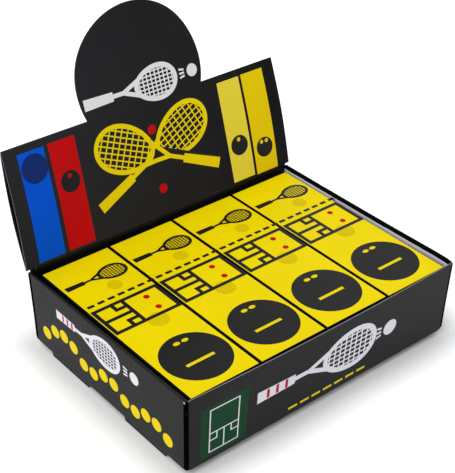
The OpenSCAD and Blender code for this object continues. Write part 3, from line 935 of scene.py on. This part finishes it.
upper_racket = [(-u, v, kind) for u, v, kind in lower_racket]
toward = np.array([-np.cos(np.radians(RACKET_TURN)), np.sin(np.radians(RACKET_TURN))])
margin_end = np.array([GRIP_U, GRIP_V]) + MARGIN_LENGTH * toward
margin = [line((GRIP_U, GRIP_V), margin_end, MARGIN_WIDTH, 20)]
print_marks("header_lower_racket", "header", INKS["yellow"], [(lower_racket, header_face, 0)])
print_marks("header_racket_margin", "header", INKS["black"], [(margin, header_face, 1)])
print_marks("header_upper_racket", "header", INKS["yellow"], [(upper_racket, header_face, 2)])
print_marks("header_red_dots", "header", INKS["red"],
            [([disc(-55.9, 41.0, 1.3), disc(0, 49, 2.7), disc(0, 14.5, 2.7)], header_face, 3)])
print_marks("header_yellow_dots", "header", INKS["yellow"],
            [([disc(57.1, 25.4, 1.2), disc(73.0, 18.9, 1.2), disc(76.6, 18.9, 1.2)],
              header_face, 3)])
disc_print = [*turned(racket(62, 1.8), 0, (-38.5, 73.5)), disc(34, 73.5, 3.6),
              *flight(28.5, 73.5, 2.4)]
print_marks("header_disc_print", "header", INKS["white"], [(disc_print, header_face, 1)])

# %% [markdown]
# The tray's walls carry a white racket with a ball, and a bouncing ball in yellow at the sides.
# The front has a row of yellow dashes and a green panel with the plan of a court.

# %% Tray print
def wall_face(corner, across):
    """Face function of a tray wall, which springs out with the wall."""
    flat = flat_face(corner, across, (0, 0, 1))
    return lambda u, v, h: sprung(flat(u, v, h) / MM) * MM


front_face = wall_face((0, tray_front, 0), (1, 0, 0))
left_face = wall_face((tray_left, 0, 0), (0, -1, 0))
right_face = wall_face((tray_right, 0, 0), (0, 1, 0))
back_face = wall_face((0, tray_back, 0), (-1, 0, 0))
long_print = [*turned(racket(82, 1.6), 0, (-47, 24)), disc(45, 24, 4.8), *flight(38.5, 24, 3.2)]
side_print = [*turned(racket(56, 1.8), 0, (-41.5, 32.5)), disc(26, 32.5, 3.6),
              *flight(20.5, 32.5, 2.4)]
side_path = ball_track(-58, 7.5, (43, 36, 35), (12.5, 9.5, 7.5), (3.8, 3.8, 3.8))
print_marks("tray_white_print", "tray", INKS["white"],
            [(long_print, front_face, 0), (side_print, left_face, 0), (side_print, right_face, 0),
             (long_print, back_face, 0)])
print_marks("tray_yellow_print", "tray", INKS["yellow"],
            [([bar(x, x + 6, 4.2, 5.6) for x in np.arange(-25, 28, 8.0)], front_face, 0),
             (side_path, left_face, 0), (side_path, right_face, 0)])
front_bands = [bar(x, x + 1.8, 21.2, 26.8) for x in (-41, -35, -29)]
side_bands = [bar(x, x + 1.4, 30.4, 34.6) for x in (-36, -32, -28)]
print_marks("tray_red_print", "tray", INKS["red"],
            [(front_bands, front_face, 2), (front_bands, back_face, 2), (side_bands, left_face, 2),
             (side_bands, right_face, 2)])
print_marks("tray_green_panel", "tray", INKS["green"],
            [([bar(-82, -53, 2.9, 35.2)], front_face, 0)])
upright_court = [(-v, u, kind) for u, v, kind in court(5.5, 32.5, 58.6, 76.4, 0.7)]
print_marks("tray_court_plan", "tray", INKS["white"], [(upright_court, front_face, 1)])

# %% [markdown]
# Every carton has the same print: on its top a small racket, a row of dashes, the bold plan of a
# court and a large ball with two yellow dots, on its black sides a yellow path with three balls,
# and a yellow ball on each black end.

# %% Carton print
dashes = [bar(d, d + 4.2, 21.6, 23.6) for d in np.arange(-19, 19, 6.3)]
top_black = [*turned(racket(38, 1.8), 0, (-19, 42)), *dashes, *court(-19, 20, -3.5, 17.5, 2.3),
             disc(0.6, -41.2, 18.5)]
top_dots = [disc(-1.3, -28.2, 1.25, 1.6), disc(3.9, -28.2, 1.25, 1.6), bar(-8, 9, -45.8, -43.9)]
end_ball, end_dots = [disc(0, 0, 14)], [disc(-2.6, 8, 1.1, 1.5), disc(2.6, 8, 1.1, 1.5)]
side_path = [*bounces(-52, -9, (34, 34, 34), (16, 16, 16), 1.8),
             *(disc(u, -5, 4.5) for u in (-18, 16, 50))]
for i in CARTONS:
    low, high = carton_box[i]
    x, y, z = (low + high) / 2
    top_face = flat_face((x, 0, high[2]), (1, 0, 0), (0, 1, 0))
    ends = [flat_face((x, low[1], z), (1, 0, 0), (0, 0, 1)),
            flat_face((x, high[1], z), (-1, 0, 0), (0, 0, 1))]
    sides = [flat_face((low[0], y, z), (0, -1, 0), (0, 0, 1)),
             flat_face((high[0], y, z), (0, 1, 0), (0, 0, 1))]
    body = f"carton_{i}"
    print_marks(f"{body}_soft_discs", body, INKS["soft_yellow"],
                [([disc(4, -6.6, 5.8), disc(4, 31, 4.2)], top_face, 0)])
    print_marks(f"{body}_yellow_print", body, INKS["yellow"],
                [(top_dots, top_face, 3), *((end_ball, end, 0) for end in ends),
                 *((side_path, side, 0) for side in sides)])
    print_marks(f"{body}_black_print", body, INKS["black"],
                [(top_black, top_face, 1), *((end_dots, end, 2) for end in ends)])
    print_marks(f"{body}_red_ball", body, INKS["red"],
                [([disc(10.5, 12.2, 1.7), disc(10.5, 1.8, 1.7)], top_face, 3)])
print("Printed", len(CARTONS), "cartons")

# %% [markdown]
# The balls inside carry two yellow dots each, the usual mark of the slowest grade. A dot on a ball
# is the same film of ink, laid on a sphere: u and v become arcs along the surface.


# %% Dots on the balls
def ball_face(middle, radius):
    """Face function of a ball's top: the point at arcs u and v from the top, h above the rubber."""
    def place(u, v, h):
        arc = np.hypot(u, v)
        level = np.sinc(arc / radius / np.pi)
        out = np.stack([u / radius * level, v / radius * level, np.cos(arc / radius)], axis=-1)
        return (middle + out * (radius + h)) * MM
    return place


for i in CARTONS:
    faces = []
    for k in (1, 2, 3):
        low, high = box_mm(f"carton_{i}_ball_{k}_upper_half")
        radius = (high[0] - low[0]) / 2
        middle = np.array([(low[0] + high[0]) / 2, (low[1] + high[1]) / 2, low[2]])
        faces.append(ball_face(middle, radius))
    dots = [disc(-2.6, 0, 1.6), disc(2.6, 0, 1.6)]
    dot_piece = print_marks(f"carton_{i}_ball_dots", f"carton_{i}", INKS["yellow"],
                            [(dots, face, 0) for face in faces])
